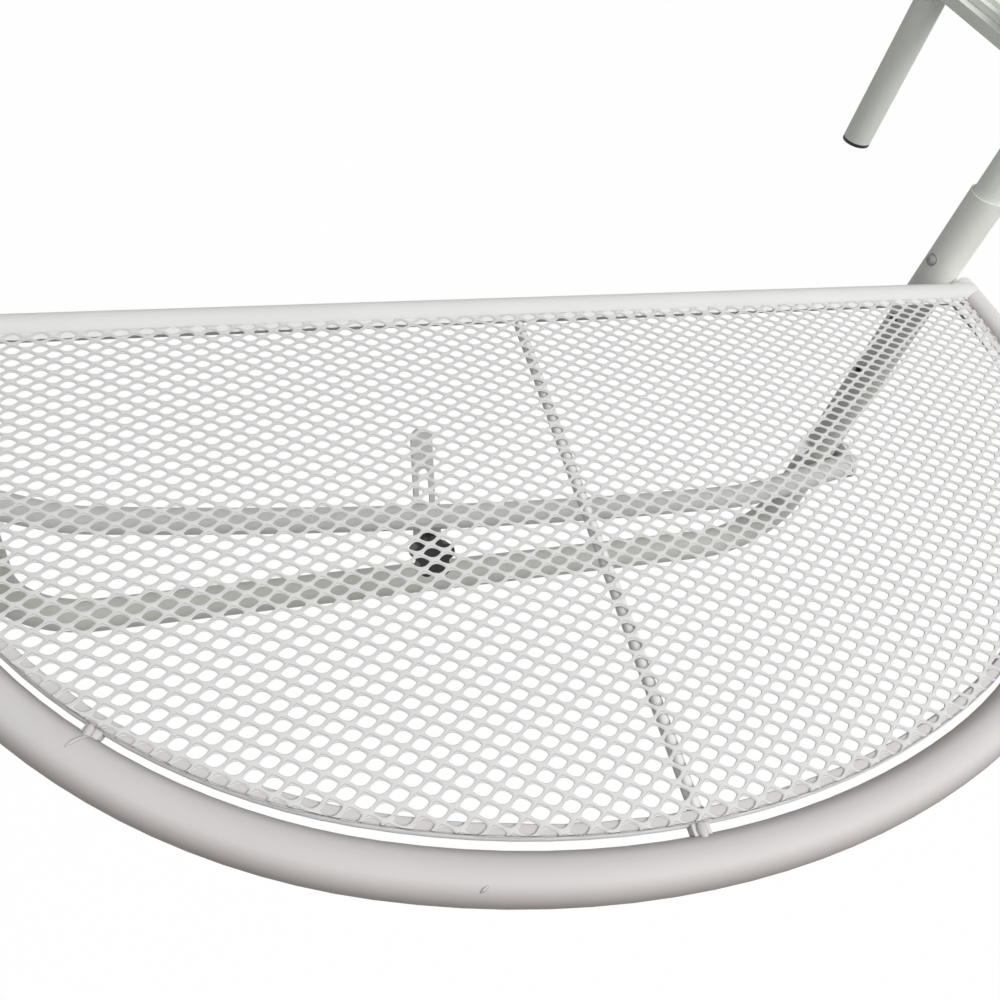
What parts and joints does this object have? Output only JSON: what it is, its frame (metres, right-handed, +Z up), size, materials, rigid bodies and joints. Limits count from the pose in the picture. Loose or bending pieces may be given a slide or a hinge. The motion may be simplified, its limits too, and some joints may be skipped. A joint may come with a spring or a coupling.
{
  "type": "balcony railing bar table",
  "caption": "Half-round wire-mesh table that hangs on a balcony railing from two height and width adjustable hooks, with a bent brace and a slotted spacer strap.",
  "frame": {"origin": "midway between the two hooks, in the middle of their narrowest gap, on the plane of the seats that lie on the handrail", "axes": "+X along the railing, +Y from the table over the railing, +Z up"},
  "size_m": [0.6186, 0.4334, 0.4344],
  "materials": {
    "white_coat": "white powder coat, low gloss",
    "zinc": "zinc plated",
    "spring_steel": "plain spring steel",
    "black_plastic": "fine matte"
  },
  "bodies": {
    "frame": {"u_frame": "white_coat", "back_tube": "white_coat", "rim_tube": "white_coat", "rim_end_discs": "white_coat", "mesh_ring": "white_coat", "centre_rod": "white_coat", "rim_tabs": "white_coat", "mesh_panel": "white_coat", "brace_bow": "white_coat", "brace_lug_right": "white_coat", "brace_lug_left": "white_coat", "brace_bolts": "zinc", "brace_nuts": "zinc", "brace_washers": "zinc", "strap_tab": "white_coat", "strap_bolt": "zinc", "strap_washer": "zinc"},
    "hook_right": {"hook_upright_right": "white_coat", "hook_arm_right": "white_coat"},
    "snap_right": {"snap_clip_right": "spring_steel"},
    "slider_right": {"hook_slider_right": "white_coat", "drop_leg_right": "white_coat", "drop_cap_right": "black_plastic", "hook_stud_right": "zinc", "hook_washer_right": "zinc"},
    "knob_right": {"hook_knob_right": "black_plastic"},
    "hook_left": {"hook_upright_left": "white_coat", "hook_arm_left": "white_coat"},
    "snap_left": {"snap_clip_left": "spring_steel"},
    "slider_left": {"hook_slider_left": "white_coat", "drop_leg_left": "white_coat", "drop_cap_left": "black_plastic", "hook_stud_left": "zinc", "hook_washer_left": "zinc"},
    "knob_left": {"hook_knob_left": "black_plastic"},
    "strap": {"spacer_strap": "white_coat"},
    "strap_knob": {"strap_knob": "black_plastic"}
  },
  "joints": [
    {"name": "hook_height_right", "type": "slide", "parent": "frame", "child": "hook_right", "axis": [0, 0, 1], "range_m": [-0.047, 0], "deforming": ["snap_clip_right"]},
    {"name": "snap_button_right", "type": "slide", "parent": "hook_right", "child": "snap_right", "axis": [1, 0, 0], "range_m": [0, 0.0042], "stiffness_N_per_m": 300, "deforming": ["snap_clip_right"]},
    {"name": "hook_width_right", "type": "slide", "parent": "hook_right", "child": "slider_right", "axis": [0, 1, 0], "range_m": [0, 0.04]},
    {"name": "hook_knob_turn_right", "type": "hinge", "parent": "slider_right", "child": "knob_right", "pos_m": [0.2824, -0.02075, 0.0175], "axis": [0, 0, 1], "range_deg": [0, 360]},
    {"name": "hook_height_left", "type": "slide", "parent": "frame", "child": "hook_left", "axis": [0, 0, 1], "range_m": [-0.047, 0], "deforming": ["snap_clip_left"]},
    {"name": "snap_button_left", "type": "slide", "parent": "hook_left", "child": "snap_left", "axis": [-1, 0, 0], "range_m": [0, 0.0042], "stiffness_N_per_m": 300, "deforming": ["snap_clip_left"]},
    {"name": "hook_width_left", "type": "slide", "parent": "hook_left", "child": "slider_left", "axis": [0, 1, 0], "range_m": [0, 0.04]},
    {"name": "hook_knob_turn_left", "type": "hinge", "parent": "slider_left", "child": "knob_left", "pos_m": [-0.2824, -0.02075, 0.0175], "axis": [0, 0, 1], "range_deg": [0, 360]},
    {"name": "strap_slide", "type": "slide", "parent": "frame", "child": "strap", "axis": [0, 0.6947, 0.7193], "range_m": [-0.051, 0.0035]},
    {"name": "strap_knob_turn", "type": "hinge", "parent": "frame", "child": "strap_knob", "pos_m": [-0.017, -0.08708, -0.32271], "axis": [0, -0.7193, 0.6947], "range_deg": [0, 360]}
  ]
}
